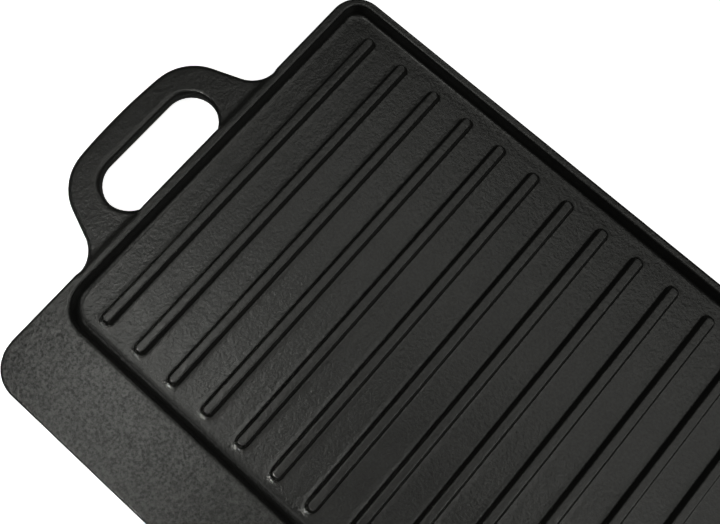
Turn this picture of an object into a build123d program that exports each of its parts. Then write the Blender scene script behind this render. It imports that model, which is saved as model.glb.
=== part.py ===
from build123d import *
import math
import os

# Reversible cast-iron grill and griddle plate: one casting, ribbed pan on the
# upper face, smooth griddle face with a fat trough underneath, and a cast-in
# loop handle at each short end.  Millimetres, +Z up, origin at the centre of
# the bounding box's bottom.  X runs along the plate from handle to handle, Y
# across it along the ribs, and the wide drip margin lies on the near, -Y side.
# A wall's "run" is how far it leans over its full height.

# ---------------------------------------------------------------- dimensions
plate_length = 382.6        # along X, without the handles
plate_width = 250.0         # along Y
plate_height = 15.0         # rim to rim
plate_near_corner_r = 17.5  # outer corners in plan, beside the drip margin
plate_far_corner_r = 14.5
rim_edge_r = 1.5            # outer edge rounding, both faces
half_length = plate_length / 2
half_width = plate_width / 2

rim_width = 4.0             # top of the rim on the far side
end_rim_width = 4.8         # top of the rim on the two short sides
drip_margin = 40.0          # flat margin beside the ribbed pan on the near side
pan_depth = 8.6             # rim top down to the ribbed floor
pan_wall_run = 0.9          # short and far walls
pan_near_wall_run = 1.8     # wall beside the drip margin
pan_near_corner_r = 15.5
pan_far_corner_r = 9.0
pan_corner_taper = 2.0      # the pan's corner radii shrink this much by the floor
pan_fillet_r = 3.0          # where the walls meet the floor
pan_lip_r = 1.2             # rounding along the pan's upper edge
pan_floor_z = plate_height - pan_depth
pan_x = half_length - end_rim_width     # the pan's upper edge, both ends
pan_near_y = -half_width + drip_margin
pan_far_y = half_width - rim_width

rib_count = 17
rib_pitch = 21.0
rib_top_width = 4.2
rib_height = 4.2
rib_flank_run = 1.1         # flanks and ends, down to the pan floor
rib_near_gap = 50.4         # near edge of the plate to the rib's end, at rib top
rib_far_gap = 13.8          # far edge of the plate to the rib's end, at rib top
rib_corner_r = 1.8          # plan corners at the rib ends, at rib top
rib_corner_growth = 0.6     # added to the corner radius at the rib's base
rib_sink = 1.0              # how far the rib's base lies below the pan floor
rib_top_r = 1.0             # rounding of the rib's top edges
rib_root_r = 1.1            # fillet where a rib meets the floor
rib_near_y = -half_width + rib_near_gap
rib_far_y = half_width - rib_far_gap

griddle_rim_width = 6.0     # rim around the smooth face underneath
griddle_depth = 2.4         # how far the smooth face lies inside the rim
griddle_wall_run = 0.9
griddle_corner_r = 11.0
griddle_fillet_r = 1.2
griddle_x = half_length - griddle_rim_width    # the recess at the rim
griddle_y = half_width - griddle_rim_width
griddle_floor_x = griddle_x - griddle_wall_run
griddle_floor_y = griddle_y - griddle_wall_run

trough_width = 28.0         # fat trough along the near side of the smooth face
trough_depth = 10.0         # below the rim
trough_overlap = 1.0        # its cutter starts this far inside the griddle recess
trough_wall_run = 3.0
trough_corner_r = 9.0
trough_corner_taper = 1.0   # the trough's corner radii shrink this much by its floor
trough_fillet_r = 2.5

handle_reach = 41.0         # from the plate's end to the outside of the loop
handle_crown = 1.0          # how much the loop's outer side bows out
handle_half_width = 49.7    # half the loop's nominal width across Y
handle_corner_r = 25.5
handle_corner_inset = 0.4   # corner centres moved in from the nominal width
handle_root_half = 67.4     # half the spread of the loop where it joins the plate
handle_root_r = 15.5
handle_top_drop = 1.0       # loop's top face below the rim
handle_thickness = 8.0
handle_edge_r = 2.6
handle_embed = 3.5          # how far the handle and its hole run into the plate

slot_length = 68.0          # finger hole in each handle, across Y
slot_width = 27.4           # from the plate's end to the hole's outer side
slot_radius = 13.8          # the hole's corners on its outer side
slot_inner_radius = 15.0    # the flatter arcs that run into the plate's end
slot_edge_r = 2.2

overshoot = 2.0             # how far the pan and griddle cutters pass the rims


# ------------------------------------------------------------------- helpers
def corner_rect(x0, x1, y0, y1, near_r, far_r, z):
    """Closed wire of a rectangle whose two low-Y corners and two high-Y
    corners have their own radii."""
    bulge = 1 - math.sqrt(0.5)
    near = near_r * bulge
    far = far_r * bulge
    return Wire([
        Line((x0 + near_r, y0, z), (x1 - near_r, y0, z)),
        ThreePointArc((x1 - near_r, y0, z), (x1 - near, y0 + near, z), (x1, y0 + near_r, z)),
        Line((x1, y0 + near_r, z), (x1, y1 - far_r, z)),
        ThreePointArc((x1, y1 - far_r, z), (x1 - far, y1 - far, z), (x1 - far_r, y1, z)),
        Line((x1 - far_r, y1, z), (x0 + far_r, y1, z)),
        ThreePointArc((x0 + far_r, y1, z), (x0 + far, y1 - far, z), (x0, y1 - far_r, z)),
        Line((x0, y1 - far_r, z), (x0, y0 + near_r, z)),
        ThreePointArc((x0, y0 + near_r, z), (x0 + near, y0 + near, z), (x0 + near_r, y0, z)),
    ])


def tapered(low, high):
    """Ruled solid between two sets of corner_rect arguments."""
    return Solid.make_loft([corner_rect(*low), corner_rect(*high)], True)


def flat_edges(solid, z, tolerance=1e-3):
    """The edges that lie wholly in the plane at height z."""
    return [
        edge
        for edge in solid.edges()
        if abs(edge.bounding_box().min.Z - z) < tolerance
        and abs(edge.bounding_box().max.Z - z) < tolerance
    ]


def flat_edges_within(solid, z, x0, x1, y0, y1):
    """The edges at height z that lie inside a rectangle in plan."""
    found = []
    for edge in flat_edges(solid, z):
        box = edge.bounding_box()
        if box.min.X > x0 and box.max.X < x1 and box.min.Y > y0 and box.max.Y < y1:
            found.append(edge)
    return found


def try_fillet(solid, radius, edges):
    """The filleted solid, or the solid as it is if the fillet can't be built."""
    # Guards against the kernel failing on, or spoiling, the long edge chains.
    try:
        done = solid.fillet(radius, edges)
        if done.is_valid and abs(done.volume - solid.volume) < 0.05 * solid.volume:
            return done
    except Exception:
        pass
    return solid


def cross_tangent(center1, radius1, center2, radius2):
    """End points of a line that crosses between two circles and touches both."""
    dx, dy = center2[0] - center1[0], center2[1] - center1[1]
    turn = math.acos((radius1 + radius2) / math.hypot(dx, dy))
    angle = math.atan2(dy, dx) + turn
    ux, uy = math.cos(angle), math.sin(angle)
    return (
        (center1[0] + radius1 * ux, center1[1] + radius1 * uy),
        (center2[0] - radius2 * ux, center2[1] - radius2 * uy),
    )


def arc_middle(center, radius, start, end):
    """Point on the circle half way between two of its points, the short way."""
    dx = (start[0] + end[0]) / 2 - center[0]
    dy = (start[1] + end[1]) / 2 - center[1]
    scale = radius / math.hypot(dx, dy)
    return (center[0] + dx * scale, center[1] + dy * scale)


def mirrored(point):
    """The point on the other side of the X axis."""
    return (point[0], -point[1])


# ---------------------------------------------------------------- the handles
# Both outlines belong to the -X handle, with the plate's end at x = 0.
def loop_outline():
    """Face of the loop without its finger hole."""
    # The crowned outer side is a wide arc that the corner arc touches from inside.
    half_chord = handle_half_width - handle_corner_r
    crown_r = (half_chord**2 + handle_crown**2) / (2 * handle_crown)
    crown_x = -handle_reach + crown_r
    corner_y = half_chord - handle_corner_inset
    angle = math.asin(corner_y / (crown_r - handle_corner_r))
    corner = (crown_x - (crown_r - handle_corner_r) * math.cos(angle), corner_y)
    root = (-handle_root_r, handle_root_half)

    # Joints of the +Y half, from the crown round to the plate's end.
    crown_end = (crown_x - crown_r * math.cos(angle), crown_r * math.sin(angle))
    corner_end, root_start = cross_tangent(corner, handle_corner_r, root, handle_root_r)
    root_end = (0.0, handle_root_half)
    deep = (handle_embed, handle_root_half)
    corner_mid = arc_middle(corner, handle_corner_r, crown_end, corner_end)
    root_mid = arc_middle(root, handle_root_r, root_start, root_end)

    return Face(Wire([
        ThreePointArc(mirrored(crown_end), (-handle_reach, 0.0), crown_end),
        ThreePointArc(crown_end, corner_mid, corner_end),
        Line(corner_end, root_start),
        ThreePointArc(root_start, root_mid, root_end),
        Line(root_end, deep),
        Line(deep, mirrored(deep)),
        Line(mirrored(deep), mirrored(root_end)),
        ThreePointArc(mirrored(root_end), mirrored(root_mid), mirrored(root_start)),
        Line(mirrored(root_start), mirrored(corner_end)),
        ThreePointArc(mirrored(corner_end), mirrored(corner_mid), mirrored(crown_end)),
    ]))


def slot_outline(z):
    """Face of the finger hole at height z."""
    center_x = -slot_width + slot_radius
    outer_y = slot_length / 2 - slot_radius
    inner_y = slot_length / 2 - slot_inner_radius
    turn = math.asin(-center_x / slot_inner_radius)
    diagonal = slot_radius * math.sqrt(0.5)
    meet_y = inner_y + slot_inner_radius * math.cos(turn)
    deep_y = meet_y - handle_embed * math.tan(turn)
    mid_x = center_x + slot_inner_radius * math.sin(turn / 2)
    mid_y = inner_y + slot_inner_radius * math.cos(turn / 2)

    def joints(side):
        """Points of one half, side 1 for +Y and -1 for -Y."""
        return [
            (x, side * y, z)
            for x, y in [
                (center_x - slot_radius, outer_y),
                (center_x - diagonal, outer_y + diagonal),
                (center_x, slot_length / 2),
                (mid_x, mid_y),
                (0.0, meet_y),
                (handle_embed, deep_y),
            ]
        ]

    high, low = joints(1), joints(-1)
    return Face(Wire([
        Line(low[0], high[0]),
        ThreePointArc(high[0], high[1], high[2]),
        ThreePointArc(high[2], high[3], high[4]),
        Line(high[4], high[5]),
        Line(high[5], low[5]),
        Line(low[5], low[4]),
        ThreePointArc(low[4], low[3], low[2]),
        ThreePointArc(low[2], low[1], low[0]),
    ]))


def handle_edges(solid, inside):
    """Edges on the handle's two faces: those of the finger hole when inside
    is true, else those of the outer outline clear of the plate."""
    found = []
    for edge in flat_edges(solid, 0.0) + flat_edges(solid, handle_thickness):
        box = edge.bounding_box()
        in_slot = (
            -slot_width - 0.05 < box.min.X < 0.5
            and max(abs(box.min.Y), abs(box.max.Y)) < slot_length / 2 + 0.05
        )
        if in_slot == inside and (inside or box.max.X < 0.01):
            found.append(edge)
    return found


def make_handle():
    """The -X handle, its bottom at z = 0.  The plate's end wall will form
    the straight inner side of the finger hole."""
    loop = Solid.extrude(loop_outline(), Vector(0, 0, handle_thickness))
    slot = Solid.extrude(slot_outline(-1), Vector(0, 0, handle_thickness + 2))
    loop = (loop - slot).solids()[0]
    loop = loop.fillet(handle_edge_r, handle_edges(loop, False))
    return loop.fillet(slot_edge_r, handle_edges(loop, True))


# ------------------------------------------------- the plate, cutters and rib
def make_plate():
    """Plate blank with rounded outer edges."""
    outline = corner_rect(-half_length, half_length, -half_width, half_width,
                          plate_near_corner_r, plate_far_corner_r, 0)
    plate = Solid.extrude(Face(outline), Vector(0, 0, plate_height))
    return plate.fillet(rim_edge_r, flat_edges(plate, plate_height) + flat_edges(plate, 0))


def make_pan():
    """Cutter for the ribbed pan in the upper face."""
    # The walls keep their slope above the rim.
    rise = overshoot / pan_depth
    floor_x = pan_x - pan_wall_run
    top_x = pan_x + pan_wall_run * rise
    pan = tapered(
        (-floor_x, floor_x, pan_near_y + pan_near_wall_run, pan_far_y - pan_wall_run,
         pan_near_corner_r - pan_corner_taper, pan_far_corner_r - pan_corner_taper,
         pan_floor_z),
        (-top_x, top_x, pan_near_y - pan_near_wall_run * rise, pan_far_y + pan_wall_run * rise,
         pan_near_corner_r + pan_corner_taper * rise, pan_far_corner_r + pan_corner_taper * rise,
         plate_height + overshoot),
    )
    return pan.fillet(pan_fillet_r, flat_edges(pan, pan_floor_z))


def make_griddle():
    """Cutter for the smooth face underneath."""
    spread = griddle_wall_run / griddle_depth * overshoot
    low_x, low_y = griddle_x + spread, griddle_y + spread
    low_r = griddle_corner_r + spread
    floor_r = griddle_corner_r - griddle_wall_run
    griddle = tapered(
        (-low_x, low_x, -low_y, low_y, low_r, low_r, -overshoot),
        (-griddle_floor_x, griddle_floor_x, -griddle_floor_y, griddle_floor_y,
         floor_r, floor_r, griddle_depth),
    )
    return griddle.fillet(griddle_fillet_r, flat_edges(griddle, griddle_depth))


def make_trough():
    """Cutter for the fat trough along the near side of the smooth face."""
    near_y = -griddle_floor_y
    far_y = near_y + trough_width
    floor_x = griddle_floor_x - trough_wall_run
    floor_r = trough_corner_r - trough_corner_taper
    trough = tapered(
        (-griddle_floor_x, griddle_floor_x, near_y, far_y,
         trough_corner_r, trough_corner_r, griddle_depth - trough_overlap),
        (-floor_x, floor_x, near_y + trough_wall_run, far_y - trough_wall_run,
         floor_r, floor_r, trough_depth),
    )
    return trough.fillet(trough_fillet_r, flat_edges(trough, trough_depth))


def make_rib():
    """One rib at x = 0: leaning flanks, rounded top, base sunk in the floor."""
    top_x = rib_top_width / 2
    top_z = pan_floor_z + rib_height
    spread = rib_flank_run + rib_flank_run / rib_height * rib_sink
    base_x = top_x + spread
    base_r = rib_corner_r + rib_corner_growth
    rib = tapered(
        (-base_x, base_x, rib_near_y - spread, rib_far_y + spread,
         base_r, base_r, pan_floor_z - rib_sink),
        (-top_x, top_x, rib_near_y, rib_far_y, rib_corner_r, rib_corner_r, top_z),
    )
    return rib.fillet(rib_top_r, flat_edges(rib, top_z))


# ---------------------------------------------------------------- the casting
def make_casting():
    handle = make_handle()
    handle_z = plate_height - handle_top_drop - handle_thickness
    handles = [
        Pos(-half_length, 0, handle_z) * handle,
        Pos(half_length, 0, handle_z) * (Rot(0, 0, 180) * handle),
    ]
    rib = make_rib()
    ribs = [Pos((i - (rib_count - 1) / 2) * rib_pitch, 0, 0) * rib for i in range(rib_count)]

    casting = make_plate() + handles
    casting = casting - make_pan() - make_griddle() - make_trough()
    casting = casting + ribs
    casting = casting.solids()[0]

    # Roots of the ribs: the closed loop of edges each rib makes on the pan
    # floor, picked clear of the floor's own outline.
    root_edges = flat_edges_within(casting, pan_floor_z, -pan_x + 6, pan_x - 6,
                                   rib_near_y - 4, rib_far_y + 4)
    casting = try_fillet(casting, rib_root_r, root_edges)

    # Small rounding along the pan's upper edge.
    lip_edges = flat_edges_within(casting, plate_height, -pan_x - 0.3, pan_x + 0.3,
                                  pan_near_y - 0.3, pan_far_y + 0.3)
    return try_fillet(casting, pan_lip_r, lip_edges)


os.makedirs("parts", exist_ok=True)
export_step(make_casting(), "parts/griddle_casting.step")
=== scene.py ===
"""A cast iron griddle: a ribbed pan in a rectangular plate, with a looped handle at each end.

The plate lies flat on z = 0, centred on the origin. It is long in x, with a handle at
each x end. Its near side, with the wide margin, is at -y and its far side at +y. Shapes
are worked out in millimetres and turned into metres when the mesh is made.
"""

import math

import bpy
import numpy as np
from mathutils import Matrix, Vector


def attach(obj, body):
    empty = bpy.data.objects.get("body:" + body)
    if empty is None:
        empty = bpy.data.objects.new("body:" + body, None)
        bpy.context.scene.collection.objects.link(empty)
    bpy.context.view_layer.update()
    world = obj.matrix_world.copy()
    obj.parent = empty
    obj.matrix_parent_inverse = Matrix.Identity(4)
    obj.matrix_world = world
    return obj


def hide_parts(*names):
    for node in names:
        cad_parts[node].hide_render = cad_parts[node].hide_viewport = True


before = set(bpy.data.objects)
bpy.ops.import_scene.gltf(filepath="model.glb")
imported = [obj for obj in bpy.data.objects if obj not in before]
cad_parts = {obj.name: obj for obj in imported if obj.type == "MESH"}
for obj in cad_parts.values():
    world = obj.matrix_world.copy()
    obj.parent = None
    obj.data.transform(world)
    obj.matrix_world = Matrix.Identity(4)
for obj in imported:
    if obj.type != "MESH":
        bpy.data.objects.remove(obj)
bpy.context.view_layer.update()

scene = bpy.context.scene
MM = 0.001

# ------------------------------------------------------------ sizes, in mm
HALF_LENGTH = 191.3  # the plate
HALF_WIDTH = 125.0
TOP = 15.0
NEAR_CORNER = 17.5
FAR_CORNER = 14.5
EDGE_ROUND = 1.5

PAN_HALF_LENGTH = 186.5  # upper edge of the ribbed pan
PAN_NEAR = -85.0
PAN_FAR = 121.0
PAN_NEAR_CORNER = 15.5
PAN_FAR_CORNER = 9.0
PAN_DEPTH = 8.6
PAN_LIP = 1.2
PAN_FILLET = 2.6
PAN_MIDDLE = (PAN_NEAR + PAN_FAR) / 2
PAN_HALF_WIDTH = (PAN_FAR - PAN_NEAR) / 2

RIBS = 17
RIB_PITCH = 21.0
RIB_HALF = 2.1  # half width at the top, before the flanks
RIB_HEIGHT = 4.2
RIB_RUN = 1.1  # plan width of a flank
RIB_NEAR = -74.6
RIB_FAR = 111.2
RIB_CORNER = 1.8
RIB_ROUND = 1.0
RIB_ROOT = 1.1
FOOT_HEIGHT = 0.64  # the floor swells a little in front of each rib's near end
FOOT_START = 1.2
FOOT_LENGTH = 3.4

HANDLE_TOP = 14.0
HANDLE_BOTTOM = 6.0
HANDLE_ROUND = 2.6
HOLE_ROUND = 2.2
HANDLE_REACH = 41.0  # beyond the plate's end
HANDLE_CROWN = 1.0  # bulge of the outermost edge
HANDLE_HALF = 49.7
HANDLE_CORNER = 25.5
CORNER_SHIFT = 0.4
ROOT_OFF = 67.4  # where the handle's concave root leaves the plate
ROOT_RADIUS = 15.5
HOLE_REACH = 27.4
HOLE_HALF = 34.0
HOLE_OUTER_R = 13.8  # the hole's corner arc, and the flatter arc back to the plate
HOLE_INNER_R = 15.0

# Recesses underneath: centre y, half length, half width, corner, depth, wall run,
# rounding of the lower edge and fillet above it. The second is cut into the first.
RECESSES = (
    (0, HALF_LENGTH - 6, HALF_WIDTH - 6, 11.0, 2.4, 0.9, 0.4, 1.2),
    (-104.1, 184.05, 13.65, 9.0, 7.6, 2.65, 0.6, 2.5),
)

# Handle geometry is in (out, off): out is the distance beyond the plate's end,
# off the distance from the x axis. Both handles share it.
crown_radius = ((HANDLE_HALF - HANDLE_CORNER) ** 2 + HANDLE_CROWN**2) / (2 * HANDLE_CROWN)
crown_out = HANDLE_REACH - crown_radius
corner_off = HANDLE_HALF - HANDLE_CORNER - CORNER_SHIFT
crown_angle = math.asin(corner_off / (crown_radius - HANDLE_CORNER))
corner_out = crown_out + (crown_radius - HANDLE_CORNER) * math.cos(crown_angle)
# the flank is tangent to the corner and root circles, crossing between them
_run, _rise = ROOT_RADIUS - corner_out, ROOT_OFF - corner_off
flank_angle = math.atan2(_rise, _run) - math.acos(
    (HANDLE_CORNER + ROOT_RADIUS) / math.hypot(_run, _rise)
)
normal = (math.cos(flank_angle), math.sin(flank_angle))
flank_start = (corner_out + HANDLE_CORNER * normal[0], corner_off + HANDLE_CORNER * normal[1])
flank_end = (ROOT_RADIUS - ROOT_RADIUS * normal[0], ROOT_OFF - ROOT_RADIUS * normal[1])
hole_corner_out = HOLE_REACH - HOLE_OUTER_R
hole_angle = math.asin(hole_corner_out / HOLE_INNER_R)
hole_meet = HOLE_HALF - HOLE_INNER_R + HOLE_INNER_R * math.cos(hole_angle)
NOWHERE = 1e3  # stands for the distance to a curve that doesn't reach a point


# ------------------------------------------------------------ plan outlines
def segment(x, y, start, end):
    """Distance to a straight segment."""
    start, end = np.array(start, float), np.array(end, float)
    span = end - start
    t = ((x - start[0]) * span[0] + (y - start[1]) * span[1]) / (span @ span)
    t = np.clip(t, 0, 1)
    return np.hypot(x - start[0] - t * span[0], y - start[1] - t * span[1])


def arc(x, y, centre, radius, first, last):
    """Distance to an arc, for the points within its range of angles."""
    angle = np.arctan2(y - centre[1], x - centre[0])
    angle = np.where(angle < first - 1e-3, angle + 2 * np.pi, angle)
    distance = np.abs(np.hypot(x - centre[0], y - centre[1]) - radius)
    return np.where((angle >= first - 1e-3) & (angle <= last + 1e-3), distance, NOWHERE)


def rounded_rect(x, y, centre_x, centre_y, half_x, half_y, radius):
    """Signed distance to a rounded rectangle, negative inside."""
    past_x = np.abs(x - centre_x) - half_x + radius
    past_y = np.abs(y - centre_y) - half_y + radius
    corner = np.hypot(np.maximum(past_x, 0), np.maximum(past_y, 0))
    return np.minimum(np.maximum(past_x, past_y), 0) + corner - radius


def plate_corner(y):
    return np.where(y < 0, NEAR_CORNER, FAR_CORNER)


def plate_distance(x, y):
    return rounded_rect(x, y, 0, 0, HALF_LENGTH, HALF_WIDTH, plate_corner(y))


def handle_frame(x, y):
    """The (out, off) coordinates of a point."""
    return np.abs(x) - HALF_LENGTH, np.abs(y)


def handle_outline(x, y):
    """Distance to the handle's outer outline, and whether a point is inside it."""
    out, off = handle_frame(x, y)
    corner, root = (corner_out, corner_off), (ROOT_RADIUS, ROOT_OFF)
    distance = arc(out, off, (crown_out, 0), crown_radius, 0, crown_angle)
    for curve in (
        arc(out, off, corner, HANDLE_CORNER, crown_angle, flank_angle),
        segment(out, off, flank_start, flank_end),
        arc(out, off, root, ROOT_RADIUS, np.pi, np.pi + flank_angle),
    ):
        distance = np.minimum(distance, curve)
    from_out, from_off = out - flank_start[0], off - flank_start[1]
    along = (
        from_out * (flank_end[0] - flank_start[0]) + from_off * (flank_end[1] - flank_start[1])
    ) >= 0
    behind = from_out * normal[0] + from_off * normal[1] <= 0
    in_corner = np.hypot(out - corner_out, off - corner_off) <= HANDLE_CORNER
    in_crown = np.hypot(out - crown_out, off) <= crown_radius
    inside = np.where(off < corner_off, in_crown, np.where(along, behind, in_corner))
    inside &= (np.hypot(out - ROOT_RADIUS, off - ROOT_OFF) >= ROOT_RADIUS) & (off < ROOT_OFF)
    return distance, inside & (out > -30)


def hole_outline(x, y):
    """Distance to the finger hole's edge, and whether a point is in the hole."""
    out, off = handle_frame(x, y)
    outer_off, inner_off = HOLE_HALF - HOLE_OUTER_R, HOLE_HALF - HOLE_INNER_R
    quarter = np.pi / 2
    distance = segment(out, off, (HOLE_REACH, -1.0), (HOLE_REACH, outer_off))
    for curve in (
        arc(out, off, (hole_corner_out, outer_off), HOLE_OUTER_R, 0, quarter),
        arc(out, off, (hole_corner_out, inner_off), HOLE_INNER_R, quarter, quarter + hole_angle),
    ):
        distance = np.minimum(distance, curve)
    outer_part = rounded_rect(out, off, 0, 0, HOLE_REACH, HOLE_HALF, HOLE_OUTER_R) < 0
    inner_arc = np.hypot(out - hole_corner_out, off - HOLE_HALF + HOLE_INNER_R) < HOLE_INNER_R
    inside = (out > 0) & (out < HOLE_REACH) & (off < HOLE_HALF)
    inside &= (out < hole_corner_out) | outer_part
    inside &= (out > hole_corner_out) | (off < inner_off) | inner_arc
    return distance, inside


def outline(x, y):
    """Signed distance to the whole casting's outline, negative in the metal."""
    out, off = handle_frame(x, y)
    handle, in_handle = handle_outline(x, y)
    hole, in_hole = hole_outline(x, y)
    radius = plate_corner(y)
    beside_handle = (off >= ROOT_OFF) & (off <= HALF_WIDTH - radius)
    distance = np.minimum(handle, hole)
    for curve in (
        np.where(beside_handle, np.abs(out), NOWHERE),
        arc(out, off, (-radius, HALF_WIDTH - radius), radius, 0, np.pi / 2),
        np.where(out <= -radius, np.abs(off - HALF_WIDTH), NOWHERE),
        segment(out, off, (0, -1.0), (0, hole_meet)),
    ):
        distance = np.minimum(distance, curve)
    metal = (plate_distance(x, y) < 0) | (in_handle & ~in_hole)
    return np.where(metal, -distance, distance)


def pan_corner(y):
    return np.where(y < PAN_MIDDLE, PAN_NEAR_CORNER, PAN_FAR_CORNER)


def pan_inset(x, y):
    """Distance inside the pan's upper edge, negative outside it."""
    return -rounded_rect(x, y, 0, PAN_MIDDLE, PAN_HALF_LENGTH, PAN_HALF_WIDTH, pan_corner(y))


def pan_section(x, y):
    """The pan wall's run, lip radius and fillet radius, blended round the corners."""
    near, radius = y < PAN_MIDDLE, pan_corner(y)
    past_x = np.abs(x) - PAN_HALF_LENGTH + radius
    past_y = np.abs(y - PAN_MIDDLE) - PAN_HALF_WIDTH + radius
    cornered = (past_x > 0) & (past_y > 0)
    length = np.maximum(np.hypot(past_x, past_y), 1e-9)
    # how far the wall faces along x and along y
    face_x = np.where(cornered, past_x / length, (past_x >= past_y) * 1.0)
    face_y = np.where(cornered, past_y / length, (past_x < past_y) * 1.0)
    run = 2.0 - 1.1 * face_x + np.where(near, -0.5, -1.1) * face_y
    lip = PAN_LIP + np.where(near, 0.7, 0.0) * face_y**2
    fillet = PAN_FILLET + np.where(near, 1.8, -0.8) * face_y**2
    return run, lip, fillet


# ------------------------------------------------------------ heights
def rounding(distance, radius):
    """Drop of a rounded edge at a signed distance (negative inside)."""
    t = np.clip(distance + radius, 0, radius)
    return radius - np.sqrt(np.maximum(radius * radius - t * t, 0))


def step_profile(across, height, run, top_radius, low_radius):
    """Height of a step in section: full for across << 0, 0 for across >> run,
    a leaning flank between, rounded above and filleted below."""
    lean = np.arctan2(height, run)
    top_start = -top_radius * np.tan(lean / 2)
    low_end = run + low_radius * np.tan(lean / 2)
    z = height - across * height / run
    in_top = np.clip(across - top_start, 0, None)
    top_arc = height - top_radius + np.sqrt(np.maximum(top_radius**2 - in_top**2, 0))
    z = np.where(across < top_start + top_radius * np.sin(lean), top_arc, z)
    in_low = np.clip(low_end - across, 0, None)
    low_arc = low_radius - np.sqrt(np.maximum(low_radius**2 - in_low**2, 0))
    return np.where(across > low_end - low_radius * np.sin(lean), low_arc, z)


def smooth(t):
    return t * t * (3 - 2 * t)


# Ripples of the cast skin: direction, waves per mm in radians, phase
rng = np.random.RandomState(7)
RIPPLES = [
    (rng.uniform(0, 2 * np.pi), 2 * np.pi / rng.uniform(9, 34), rng.uniform(0, 2 * np.pi))
    for _ in range(26)
]


def wave(x, y, turn=0):
    """Slow waviness of a sand-cast skin, about +-0.03 mm, with its ripples turned."""
    z = 0.0
    for angle, rate, phase in RIPPLES:
        along = x * math.cos(angle + turn) + y * math.sin(angle + turn)
        z = z + np.sin(along * rate + phase) / (rate * 9)
    return 0.016 * z


def rib_height(x, y):
    """Height of the ribs, and of the swell at their near ends, above the pan floor."""
    last = (RIBS - 1) // 2
    centre = np.clip(np.round(x / RIB_PITCH), -last, last) * RIB_PITCH
    middle, half = (RIB_NEAR + RIB_FAR) / 2, (RIB_FAR - RIB_NEAR) / 2
    gap = rounded_rect(x, y, centre, middle, RIB_HALF, half, RIB_CORNER)
    past_x = np.maximum(np.abs(x - centre) - RIB_HALF + RIB_CORNER, 0)
    past_y = np.maximum(RIB_NEAR + RIB_CORNER - y, 0)
    ahead = (past_y / np.maximum(np.hypot(past_x, past_y), 1e-6)) ** 2 * (past_y > 0)
    rib = step_profile(gap, RIB_HEIGHT, RIB_RUN, RIB_ROUND, RIB_ROOT)
    fade = np.clip(1 - (gap - FOOT_START) / FOOT_LENGTH, 0, 1) ** 2
    return rib + FOOT_HEIGHT * ahead * fade * (1 - rib / RIB_HEIGHT)


def handle_drop(x, y):
    """Rounding of the handle's outer edge and of the hole's edge."""
    handle, hole = handle_outline(x, y)[0], hole_outline(x, y)[0]
    return rounding(-handle, HANDLE_ROUND) + rounding(-hole, HOLE_ROUND)


def top_skin(x, y):
    inset, plate = pan_inset(x, y), plate_distance(x, y)
    z = TOP - rounding(plate, EDGE_ROUND) - PAN_DEPTH
    z = z + step_profile(inset, PAN_DEPTH, *pan_section(x, y))
    z = z + np.where(inset > 0, rib_height(x, y), 0)
    drop = handle_drop(x, y)
    handle = HANDLE_TOP - drop
    out, off = handle_frame(x, y)
    joint = (out > -1.6) & (off < ROOT_OFF)
    hard = np.where(plate < 1e-6, np.where(joint, np.maximum(z, handle), z), handle)
    # the step down from the plate to the handle is a soft ramp beside the hole
    ramp = 1 - smooth(np.clip((out + 2.2) / 3.6, 0, 1))
    soft = HANDLE_TOP + (TOP - HANDLE_TOP) * ramp - drop * (out > -2.7)
    beside = np.clip((off - 26.0) / 4.0, 0, 1) * np.clip((ROOT_OFF + 1.0 - off) / 4.0, 0, 1)
    return hard + (soft - hard) * smooth(beside * (out > -2.7)) + wave(x, y)


def under_skin(x, y):
    plate = plate_distance(x, y)
    z = rounding(plate, EDGE_ROUND)
    for centre_y, half_x, half_y, corner, depth, run, edge, fillet in RECESSES:
        inset = -rounded_rect(x, y, 0, centre_y, half_x, half_y, corner)
        z = z + depth - step_profile(inset, depth, run, edge, fillet)
    z = np.where(plate < 1e-6, z, HANDLE_BOTTOM + handle_drop(x, y))
    return z + wave(x, y, 1.3)


# ------------------------------------------------------------ mesh tools
blocks, faces = [], []  # arrays of points, and tuples of vertex numbers
CORNERS = ((0, 0), (1, 0), (1, 1), (0, 1))  # of a grid cell, counter-clockwise


def add_points(x, y, z):
    start = sum(len(block) for block in blocks)
    blocks.append(np.stack([x, y, z], -1))
    return np.arange(start, start + len(x))


def plan(ids):
    """The x and y of some vertices."""
    return np.concatenate(blocks)[ids][:, :2]


def gradient(field, x, y, step=1e-3):
    slope_x = (field(x + step, y) - field(x - step, y)) / (2 * step)
    slope_y = (field(x, y + step) - field(x, y - step)) / (2 * step)
    return slope_x, slope_y


def unit_gradient(field, x, y):
    slope_x, slope_y = gradient(field, x, y)
    length = np.maximum(np.hypot(slope_x, slope_y), 1e-6)
    return slope_x / length, slope_y / length


def mirrored(*parts):
    """The given (start, stop, step) ranges and single values, and their negatives."""
    return [*parts] + [
        (-part[1], -part[0], part[2]) if isinstance(part, tuple) else -part for part in parts
    ]


def grid_lines(*parts):
    """Sorted grid lines from (start, stop, step) ranges and single values."""
    values = []
    for part in parts:
        if isinstance(part, tuple):
            start, stop, step = part
            count = max(1, int(math.ceil((stop - start) / step - 1e-9)))
            values += list(np.linspace(start, stop, count + 1))
        else:
            values.append(part)
    values = np.unique(np.round(values, 5))
    return values[np.concatenate([[True], np.diff(values) > 0.012])]


def spacing(values):
    """Each line's distance to its closer neighbour."""
    before = np.diff(values, prepend=values[0] - 9)
    return np.minimum(before, np.diff(values, append=values[-1] + 9))


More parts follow.
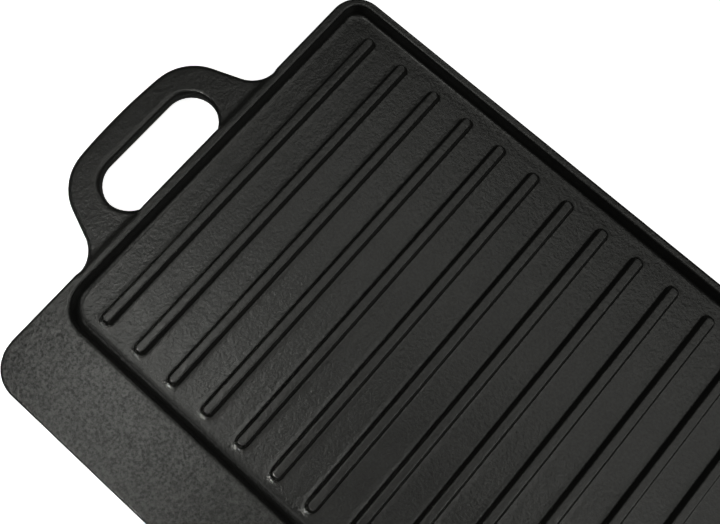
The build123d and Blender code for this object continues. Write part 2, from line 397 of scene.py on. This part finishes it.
def snapped_grid(x_lines, y_lines, field):
    """A tensor grid whose nodes close to field = 0 are moved onto it, and its field."""
    x, y = np.meshgrid(x_lines, y_lines, indexing="ij")
    value = field(x, y)
    slope_x, slope_y = gradient(field, x, y)
    square = np.maximum(slope_x * slope_x + slope_y * slope_y, 1e-6)
    move_x, move_y = -value * slope_x / square, -value * slope_y / square
    snap = np.abs(move_x) < 0.34 * spacing(x_lines)[:, None]
    snap &= np.abs(move_y) < 0.34 * spacing(y_lines)[None, :]
    x, y = np.where(snap, x + move_x, x), np.where(snap, y + move_y, y)
    return x, y, np.where(snap, 0.0, field(x, y))


def corner_view(grid, corner):
    """The part of a node grid that holds the given corner of every cell."""
    i, j = corner
    return grid[i : grid.shape[0] - 1 + i, j : grid.shape[1] - 1 + j]


def clip_cell(i, j, inside, rim, crossings):
    """The inside part of a cell: a list of nodes (i, j) and crossing numbers."""
    nodes = [(i + di, j + dj) for di, dj in CORNERS]
    points = []
    for here, after in zip(nodes, nodes[1:] + nodes[:1]):
        if inside[here]:
            points.append(here)
        if inside[here] != inside[after]:
            pair = (here, after) if inside[here] else (after, here)
            if rim[pair[0]]:
                points.append(pair[0])
            else:
                points.append(crossings.setdefault(pair, len(crossings)))
    polygon = []
    for point in points:
        if not polygon or polygon[-1] != point:
            polygon.append(point)
    if len(polygon) > 1 and polygon[0] == polygon[-1]:
        polygon.pop()
    return polygon


def crossing_points(crossings, x, y, field):
    """Where the field is zero between each (inside, outside) pair of nodes."""
    pairs = np.array(list(crossings), int).reshape(-1, 2, 2)
    start, end = tuple(pairs[:, 0].T), tuple(pairs[:, 1].T)
    from_x, from_y = x[start], y[start]
    span_x, span_y = x[end] - from_x, y[end] - from_y
    low, high = np.zeros(len(pairs)), np.ones(len(pairs))
    for _ in range(26):
        middle = (low + high) / 2
        within = field(from_x + middle * span_x, from_y + middle * span_y) <= 0
        low, high = np.where(within, middle, low), np.where(within, high, middle)
    return from_x + low * span_x, from_y + low * span_y


def boundary_loops(polygons):
    """The closed loops of edges that have a face on one side only."""
    edges = {}
    for polygon in polygons:
        for edge in zip(polygon, polygon[1:] + polygon[:1]):
            if edge[::-1] in edges:
                del edges[edge[::-1]]
            else:
                edges[edge] = True
    following = {start: end for start, end in edges}
    loops = []
    while following:
        first = next(iter(following))
        loop = [first]
        vertex = following.pop(first)
        while vertex != first:
            loop.append(vertex)
            vertex = following.pop(vertex)
        loops.append(loop)
    return loops


def patch(x_lines, y_lines, field, height, flip=False):
    """Meshes the region field <= 0 on a tensor grid, with its rim lying exactly on
    field = 0, and returns the rim as closed loops of vertex numbers."""
    x, y, value = snapped_grid(x_lines, y_lines, field)
    inside = value <= 1e-9
    rim = inside & (value > -1e-9)
    count = sum(corner_view(inside, corner).astype(int) for corner in CORNERS)
    full = count == 4
    used = np.zeros_like(inside)
    for corner in CORNERS:
        view = corner_view(used, corner)
        view |= full
    crossings, clipped = {}, []
    for i, j in np.argwhere((count > 0) & (count < 4)):
        polygon = clip_cell(i, j, inside, rim, crossings)
        if len(set(polygon)) >= 3:
            clipped.append(polygon)
            for point in polygon:
                if isinstance(point, tuple):
                    used[point] = True
    cross_x, cross_y = crossing_points(crossings, x, y, field)
    node_ids = np.full(x.shape, -1)
    node_ids[used] = add_points(x[used], y[used], height(x[used], y[used]))
    cross_ids = add_points(cross_x, cross_y, height(cross_x, cross_y))
    quads = np.stack([corner_view(node_ids, corner)[full] for corner in CORNERS], 1)
    polygons = [tuple(quad) for quad in quads.tolist()]
    for polygon in clipped:
        polygons.append(tuple(
            int(node_ids[point] if isinstance(point, tuple) else cross_ids[point])
            for point in polygon
        ))
    faces.extend(polygon[::-1] if flip else polygon for polygon in polygons)
    return boundary_loops(polygons)


def signed_area(loop):
    x, y = plan(loop).T
    return 0.5 * np.sum(x * np.roll(y, -1) - np.roll(x, -1) * y)


def largest(loops, count):
    return sorted(loops, key=lambda loop: -abs(signed_area(loop)))[:count]


def sweep(ring, rings):
    """Joins a ring of vertices through rings of (x, y, z) by quads; returns the last."""
    for coordinates in rings:
        following = add_points(*coordinates)
        for i in range(len(ring)):
            j = (i + 1) % len(ring)
            quad = (following[i], following[j], ring[j], ring[i])
            faces.append(tuple(int(vertex) for vertex in quad))
        ring = following
    return ring


def zipper(first, second):
    """Triangles between two closed rings that run side by side."""
    first, second = list(first), list(second)
    if signed_area(first) * signed_area(second) < 0:
        second = second[::-1]
    first_xy, second_xy = plan(first), plan(second)
    start = int(np.argmin(np.hypot(*(second_xy - first_xy[0]).T)))
    second = second[start:] + second[:start]
    second_xy = np.roll(second_xy, -start, 0)
    i = j = 0
    n, m = len(first), len(second)
    while i < n or j < m:
        first_gap = np.hypot(*(first_xy[(i + 1) % n] - second_xy[j % m])) if i < n else 1e9
        second_gap = np.hypot(*(first_xy[i % n] - second_xy[(j + 1) % m])) if j < m else 1e9
        if first_gap <= second_gap:
            faces.append((second[j % m], first[(i + 1) % n], first[i % n]))
            i += 1
        else:
            faces.append((second[j % m], second[(j + 1) % m], first[i % n]))
            j += 1


# ------------------------------------------------------------ the casting
WALL_END = 5.3  # inset of the pan wall's last ring
SEAM = 0.9  # width of the strips of triangles that join rings to grids


def edge_band(x, y):
    """Width of the band along the outline that is meshed in rings."""
    at_handle = np.clip((np.abs(x) - HALF_LENGTH + 2.5) / 5.0, 0, 1) * (np.abs(y) < 72)
    return 1.6 + 1.1 * at_handle


def pan_band(x, y):
    """Width of the ringed band outside the pan's upper edge."""
    return 1.15 + 0.55 * np.clip((-69.5 - y) / 7.0, 0, 1)


def top_region(x, y):
    return np.maximum(outline(x, y) + edge_band(x, y), pan_inset(x, y) + pan_band(x, y))


def floor_region(x, y):
    return -(pan_inset(x, y) - WALL_END - SEAM)


def under_region(x, y):
    return outline(x, y) + edge_band(x, y) + SEAM


def top_patch():
    """Plate margin and handles; grid lines crowd at the edges."""
    outs = [-4.2, -3.4, -2.6, -2.0, -1.5, -1.25, -1.0, -0.75, -0.5, -0.3, -0.15, -0.08]
    outs += [0.02, 0.5, 1.2, *np.arange(2.5, 44.0, 2.0)]
    ends = [HALF_LENGTH + out for out in outs]
    x_lines = grid_lines(
        (-183.0, 183.0, 4.0), *mirrored(*ends, (180.0, 187.0, 0.7), (170.0, 180.0, 1.5)),
    )
    y_lines = grid_lines(
        (-123.4, -119.0, 1.1), (-123.4, -86.65, 3.1), (-86.65, -70.0, 1.6),
        (-70.0, 70.0, 2.0), *mirrored((56.0, 70.0, 0.7)),
        (70.0, 108.0, 3.4), (108.0, 122.15, 0.77), (122.15, 123.4, 0.625),
    )
    return patch(x_lines, y_lines, top_region, top_skin)


def floor_patch():
    """Pan floor with its ribs; every rib has the same grid lines about its centre."""
    stations = [0.0, 0.55, 1.1, 1.5, 1.82, 2.08, 2.24, 2.4, 2.68, 2.96, 3.1, 3.3, 3.6]
    stations += [4.05, 6.2, 8.35]
    centres = [(i - (RIBS - 1) / 2) * RIB_PITCH for i in range(RIBS)]
    x_lines = grid_lines(
        *mirrored(PAN_HALF_LENGTH - WALL_END - SEAM, 176.5, 177.9, 179.2),
        *[centre + station for centre in centres for station in mirrored(*stations)],
        *[centre - RIB_PITCH / 2 for centre in centres[1:]],
    )
    y_lines = grid_lines(
        PAN_NEAR + WALL_END + SEAM, (-78.5, -72.4, 0.3), (-72.4, 108.8, 4.5),
        (108.8, 113.2, 0.3), 114.0, PAN_FAR - WALL_END - SEAM,
    )
    return patch(x_lines, y_lines, floor_region, top_skin)


def under_patch():
    """Underside of the plate and handles; grid lines crowd at the recess walls."""
    outs = [-1.5, -1.1, -0.7, -0.4, -0.15, -0.02, 0.02, 0.4, 1.2, 2.4]
    ends = [HALF_LENGTH + out for out in [*outs, *np.arange(4.0, 44.0, 2.4)]]
    x_lines = grid_lines(
        (-180.0, 180.0, 4.5),
        *mirrored(*ends, (178.0, 186.2, 0.55), (172.0, 178.0, 1.2), (186.2, 189.8, 1.2)),
    )
    y_lines = grid_lines(
        (-122.5, -119.4, 1.1), (-119.4, -112.5, 0.5), (-112.5, -96.0, 2.5),
        (-96.0, -89.6, 0.5), (-89.6, 114.5, 4.2), (114.5, 119.6, 0.55), (119.6, 122.5, 1.0),
        *mirrored((56.0, 68.0, 0.8), (28.0, 36.0, 1.6)),
    )
    return patch(x_lines, y_lines, under_region, under_skin, flip=True)


def pan_wall(pan_edge, floor_edge):
    """Rings from the pan's lip down to the floor, joined to the floor's grid."""
    x, y = plan(pan_edge).T
    in_x, in_y = unit_gradient(pan_inset, x, y)
    band = pan_band(x, y)
    run, lip, fillet = pan_section(x, y)
    lean = np.arctan2(PAN_DEPTH, run)
    lip_start, fillet_end = -lip * np.tan(lean / 2), run + fillet * np.tan(lean / 2)
    insets = [lip_start + lip * np.sin(lean * k / 7) for k in range(8)]
    upper, lower = insets[-1], fillet_end - fillet * np.sin(lean)
    insets += [upper + (lower - upper) * share for share in (0.33, 0.67)]
    insets += [fillet_end - fillet * np.sin(lean * (1 - k / 8)) for k in range(9)]
    insets.append(WALL_END)
    rings = []
    for inset in insets:
        ring_x, ring_y = x + (inset + band) * in_x, y + (inset + band) * in_y
        z = TOP - PAN_DEPTH + step_profile(inset, PAN_DEPTH, run, lip, fillet)
        rings.append((ring_x, ring_y, z + wave(ring_x, ring_y)))
    zipper(sweep(pan_edge, rings), floor_edge)


def side_wall(edge, under_edges):
    """Rings from an edge of the top grid out, down the side and back in underneath,
    joined to the closest edge of the underside's grid."""
    x, y = plan(edge).T
    inset = -outline(x, y)
    out_x, out_y = unit_gradient(outline, x, y)
    moves = [inset * math.sin(math.radians(a)) for a in (8, 19, 30, 41, 52, 63, 74, 83)]
    moves.append(inset - 1e-4)  # stops just short of the outline, on the metal's side
    paths = [(x + move * out_x, y + move * out_y) for move in moves]
    side = paths[-1]
    upper, lower = top_skin(*side), under_skin(*side)
    rings = [(*path, top_skin(*path)) for path in paths]
    rings += [(*side, upper + (lower - upper) * share) for share in (0.35, 0.65)]
    rings += [(*path, under_skin(*path)) for path in [*paths[::-1], (x, y)]]
    last = sweep(edge, rings)
    centre = plan(last).mean(0)
    zipper(last, min(under_edges, key=lambda loop: np.hypot(*(plan(loop).mean(0) - centre))))


def build_casting():
    outer_edge, pan_edge, *hole_edges = largest(top_patch(), 4)
    pan_wall(pan_edge, max(floor_patch(), key=len))
    under_edges = largest(under_patch(), 3)
    for edge in (outer_edge, *hole_edges):
        side_wall(edge, under_edges)


def casting_object(name):
    """One smooth mesh object from all the points and faces."""
    points = np.concatenate(blocks) * MM
    sizes = np.array([len(face) for face in faces], np.int32)
    starts = np.concatenate([[0], np.cumsum(sizes)[:-1]]).astype(np.int32)
    corners = np.fromiter((i for face in faces for i in face), np.int32, int(sizes.sum()))
    mesh = bpy.data.meshes.new(name)
    mesh.vertices.add(len(points))
    mesh.vertices.foreach_set("co", points.astype(np.float32).ravel())
    mesh.loops.add(len(corners))
    mesh.loops.foreach_set("vertex_index", corners)
    mesh.polygons.add(len(sizes))
    mesh.polygons.foreach_set("loop_start", starts)
    mesh.polygons.foreach_set("loop_total", sizes)
    mesh.polygons.foreach_set("use_smooth", np.ones(len(sizes), bool))
    mesh.update(calc_edges=True)
    mesh.validate()
    return link_object(name, mesh)


def link_object(name, data):
    thing = bpy.data.objects.new(name, data)
    scene.collection.objects.link(thing)
    return thing


# ------------------------------------------------------------ materials
def empty_material(name):
    material = bpy.data.materials.new(name)
    material.use_nodes = True
    material.node_tree.nodes.clear()
    return material


def add_node(material, kind, inputs=None, **settings):
    """A shader node. Each input is given a value, or linked if it is a socket."""
    node = material.node_tree.nodes.new("ShaderNode" + kind)
    for key, value in settings.items():
        setattr(node, key, value)
    for key, value in (inputs or {}).items():
        if isinstance(value, bpy.types.NodeSocket):
            material.node_tree.links.new(value, node.inputs[key])
        else:
            node.inputs[key].default_value = value
    return node


def seasoned_iron():
    iron = empty_material("seasoned_cast_iron")
    place = add_node(iron, "TexCoord").outputs["Object"]

    def noise(scale, detail, roughness):
        inputs = {"Vector": place, "Scale": scale, "Detail": detail, "Roughness": roughness}
        return add_node(iron, "TexNoise", inputs).outputs["Fac"]

    def remap(value, source, target):
        """Maps the source range onto the target range."""
        return add_node(iron, "MapRange", dict(enumerate((value, *source, *target)))).outputs[0]

    def combine(operation, first, second):
        return add_node(iron, "Math", {0: first, 1: second}, operation=operation).outputs[0]

    # near-black seasoning with faint cloudy mottling
    mottle = noise(scale=38.0, detail=5.0, roughness=0.62)
    ramp = add_node(iron, "ValToRGB", {0: mottle})
    dark, light = ramp.color_ramp.elements
    dark.position = 0.3
    dark.color = (0.0085, 0.0086, 0.0082, 1)
    light.position = 0.72
    light.color = (0.0130, 0.0131, 0.0122, 1)
    gloss = noise(scale=120.0, detail=3.0, roughness=0.6)
    gloss = remap(gloss, source=(0.3, 0.7), target=(0.28, 0.35))

    # pebbled grain of the sand casting, under the oil
    grain = noise(scale=760.0, detail=3.0, roughness=0.62)
    coarse = noise(scale=330.0, detail=2.0, roughness=0.5)
    fine_share = combine("MULTIPLY", grain, 0.6)
    pebbles = combine("ADD", fine_share, combine("MULTIPLY", coarse, 0.8))
    bump = add_node(iron, "Bump", {"Strength": 0.6, "Distance": 0.0004, "Height": pebbles})

    # the pits hold less oil than the high spots, most of all on the near margin
    height_y = add_node(iron, "SeparateXYZ", {0: place}).outputs["Y"]
    margin = remap(height_y, source=(-0.083, -0.088), target=(0.3, 1.0))
    oil = remap(grain, source=(0.36, 0.64), target=(-0.21, 0.21))
    oil = combine("ADD", combine("MULTIPLY", oil, margin), 0.5)
    surface = add_node(iron, "BsdfPrincipled", {
        "Base Color": ramp.outputs[0],
        "Roughness": gloss,
        "Normal": bump.outputs[0],
        "Specular IOR Level": oil,
    })
    add_node(iron, "OutputMaterial", {0: surface.outputs[0]})
    return iron


def pale_floor():
    """Bright to the camera and dim to other rays, but clear from below and to shadows."""
    pale = empty_material("pale_floor")

    def shader(kind, inputs):
        return add_node(pale, kind, inputs).outputs[0]

    diffuse = shader("BsdfDiffuse", {"Color": (0.8, 0.8, 0.8, 1)})
    glow = shader("Emission", {"Color": (1, 1, 1, 1), "Strength": 0.9})
    bright = shader("AddShader", {0: diffuse, 1: glow})
    seen = add_node(pale, "LightPath").outputs["Is Camera Ray"]
    dim = shader("BsdfDiffuse", {"Color": (0.12, 0.12, 0.12, 1)})
    above = shader("MixShader", {0: seen, 1: dim, 2: bright})
    below = add_node(pale, "NewGeometry").outputs["Backfacing"]
    shadow = add_node(pale, "LightPath").outputs["Is Shadow Ray"]
    clear = add_node(pale, "Math", {0: below, 1: shadow}, operation="MAXIMUM").outputs[0]
    see_through = shader("BsdfTransparent", {})
    both = shader("MixShader", {0: clear, 1: above, 2: see_through})
    add_node(pale, "OutputMaterial", {0: both})
    return pale


# ------------------------------------------------------------ stage, in metres
FLOOR_HALF = 6.0
FLOOR_Z = -0.0002
BOX_DISTANCE = 1.3
ABOUT = (-0.06, -0.02, 0.0)
PATCH = (-0.145, -0.085, 0.015)

# Softboxes round the plate: name, x and y of the unit direction, size in x and y,
# power, the point faced and, if it has a grid, its spread in degrees. The patch boxes
# put a soft patch of light on the near margin, the near strips line the feet of the
# ribs' ends, the right boxes line the ribs' edges, and the rest are a dim fill.
BOXES = (
    ("patch_box", -0.24, -0.13, 0.12, 0.12, 1.12, PATCH),
    ("patch_near", -0.14, -0.18, 0.20, 0.20, 0.24, PATCH),
    ("patch_wide", -0.25, -0.18, 0.33, 0.33, 0.35, ABOUT),
    ("patch_far", -0.24, -0.02, 0.20, 0.20, 0.12, PATCH),
    ("near_bank", -0.20, -0.54, 0.80, 0.10, 0.80, (-0.1, -0.075, 0.01)),
    ("near_strip", -0.15, -0.62, 0.70, 0.08, 0.11, (-0.10, -0.074, 0.008), 8),
    ("near_right_strip", 0.20, -0.45, 0.60, 0.12, 0.15, ABOUT),
    ("right_high", 0.50, 0.0, 0.20, 0.40, 0.98, ABOUT),
    ("right_low", 0.75, 0.0, 0.33, 0.33, 0.44, ABOUT),
    ("right_low_far", 0.75, 0.25, 0.33, 0.33, 0.84, ABOUT),
    ("right_far", 0.50, 0.42, 0.33, 0.40, 0.52, ABOUT),
    ("far_low_left", -0.25, 0.75, 0.33, 0.33, 0.77, ABOUT),
    ("far_left", -0.23, 0.27, 0.33, 0.33, 0.62, ABOUT),
    ("far_right", 0.25, 0.29, 0.40, 0.40, 0.58, ABOUT),
    ("far_middle", 0.0, 0.32, 0.33, 0.40, 0.35, ABOUT),
    ("left", -0.50, 0.10, 0.33, 0.60, 0.15, ABOUT),
)


def build_floor():
    half = FLOOR_HALF
    mesh = bpy.data.meshes.new("studio_floor")
    square = [(-half, -half, 0), (half, -half, 0), (half, half, 0), (-half, half, 0)]
    mesh.from_pydata(square, [], [(0, 1, 2, 3)])
    ground = link_object("studio_floor", mesh)
    ground.location.z = FLOOR_Z
    mesh.materials.append(pale_floor())


def softbox(name, direction, size_x, size_y, power, about=ABOUT, spread=180):
    """A softbox in the given direction from a point, facing it."""
    light = bpy.data.lights.new(name, "AREA")
    light.shape = "RECTANGLE"
    light.size = size_x
    light.size_y = size_y
    light.energy = power
    light.spread = math.radians(spread)
    light.color = (1.0, 1.005, 0.95)
    box = link_object(name, light)
    target = Vector(about)
    box.location = target + Vector(direction).normalized() * BOX_DISTANCE
    box.rotation_mode = "QUATERNION"
    box.rotation_quaternion = (target - box.location).to_track_quat("-Z", "Y")


def build_lights():
    # the underside has its own box
    softbox("under_bank", (0.0, 0.0, -1.0), size_x=3.4, size_y=3.4, power=26.0)
    for name, x, y, *settings in BOXES:
        softbox(name, (x, y, math.sqrt(1 - x * x - y * y)), *settings)


def build_world():
    world = bpy.data.worlds.new("studio")
    scene.world = world
    world.use_nodes = True
    background = world.node_tree.nodes["Background"]
    background.inputs["Color"].default_value = (0.9, 0.92, 0.95, 1)
    background.inputs["Strength"].default_value = 0.02
    scene.view_settings.view_transform = "Standard"
    scene.view_settings.look = "None"


def build_camera():
    lens = bpy.data.cameras.new("camera")
    camera = link_object("camera", lens)
    lens.sensor_fit = "HORIZONTAL"
    lens.sensor_width = 36.0
    lens.lens = 38.44414255
    lens.clip_start = 0.01
    lens.clip_end = 50.0
    turn = Matrix((
        (0.75203171, -0.64930753, 0.1133492),
        (0.65884856, 0.73551792, -0.1578986),
        (0.01915438, 0.19342471, 0.98092813),
    ))
    camera.rotation_mode = "QUATERNION"
    camera.rotation_quaternion = turn.to_quaternion()
    camera.location = (-0.05764496, -0.03350460, 0.36206145)
    scene.camera = camera


build_casting()
plate = casting_object("griddle_plate")
plate.data.materials.append(seasoned_iron())
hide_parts("griddle_casting")
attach(plate, "root")

build_floor()
build_lights()
build_world()
build_camera()
